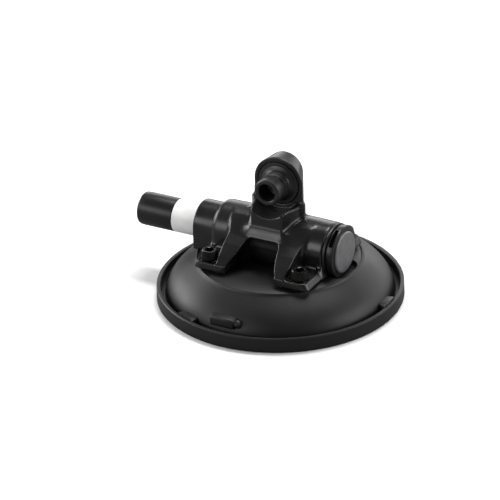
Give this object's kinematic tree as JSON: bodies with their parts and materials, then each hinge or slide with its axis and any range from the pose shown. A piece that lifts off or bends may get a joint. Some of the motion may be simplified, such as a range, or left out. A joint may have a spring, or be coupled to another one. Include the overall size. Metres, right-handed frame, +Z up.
{
  "type": "pump-action vacuum suction cup mount",
  "caption": "Rubber vacuum cup with a cast bracket, a built-in hand pump with a white vacuum indicator band, a push-button release valve and a hollow spigot on an upright lug.",
  "frame": {"origin": "centre of the bounding box on the surface that the cup's lip rests on", "axes": "+Z up away from that surface along the cup's axis, +X along the pump from its plunger towards its release button, -Y the way the spigot points"},
  "size_m": [0.1712, 0.1524, 0.0926],
  "materials": {
    "rubber": "satin moulded black rubber",
    "casting": "satin black powder coat on a die casting",
    "black_plastic": "satin black moulded plastic",
    "white_plastic": "smooth white plastic",
    "black_metal": "black anodised aluminium",
    "button_metal": "dark grey satin anodised aluminium",
    "black_steel": "black oxide finish on steel",
    "bright_steel": "zinc plated steel",
    "spring_steel": "bare spring wire",
    "brass": "turned brass",
    "felt": "grey felt"
  },
  "bodies": {
    "mount": {"backing_plate": "bright_steel", "bracket_casting": "casting", "button_spring": "spring_steel", "gland_ring": "black_steel", "intake_check_flap": "rubber", "intake_filter": "felt", "intake_port": "brass", "nut_back_left": "black_steel", "nut_back_right": "black_steel", "nut_front_left": "black_steel", "nut_front_right": "black_steel", "release_port": "brass", "return_spring": "spring_steel", "screw_back_left": "black_steel", "screw_back_right": "black_steel", "screw_front_left": "black_steel", "screw_front_right": "black_steel", "seat_o_ring": "rubber", "spacer_back_left": "black_steel", "spacer_back_right": "black_steel", "spacer_front_left": "black_steel", "spacer_front_right": "black_steel", "spigot": "black_metal", "spigot_bolt": "black_steel", "spigot_washer": "black_steel", "vacuum_cup": "rubber", "valve_cage": "black_plastic", "valve_flange": "black_metal", "valve_seat": "brass", "washer_back_left": "black_steel", "washer_back_right": "black_steel", "washer_front_left": "black_steel", "washer_front_right": "black_steel", "wiper_ring": "rubber"},
    "plunger": {"plunger_cap": "black_plastic", "indicator_band": "white_plastic", "plunger_guide": "black_plastic", "plunger_rod": "bright_steel", "piston": "black_plastic", "piston_seal": "rubber", "piston_nut": "bright_steel"},
    "release": {"release_button": "button_metal", "valve_stem": "bright_steel", "valve_seal": "rubber"}
  },
  "joints": [
    {"name": "plunger_slide", "type": "slide", "parent": "mount", "child": "plunger", "axis": [1, 0, 0], "range_m": [0, 0.028], "stiffness_N_per_m": 400, "springref_m": -0.01, "deforming": ["return_spring"]},
    {"name": "release_button_slide", "type": "slide", "parent": "mount", "child": "release", "axis": [-1, 0, 0], "range_m": [0, 0.0019], "stiffness_N_per_m": 800, "springref_m": -0.002, "deforming": ["button_spring"]}
  ]
}
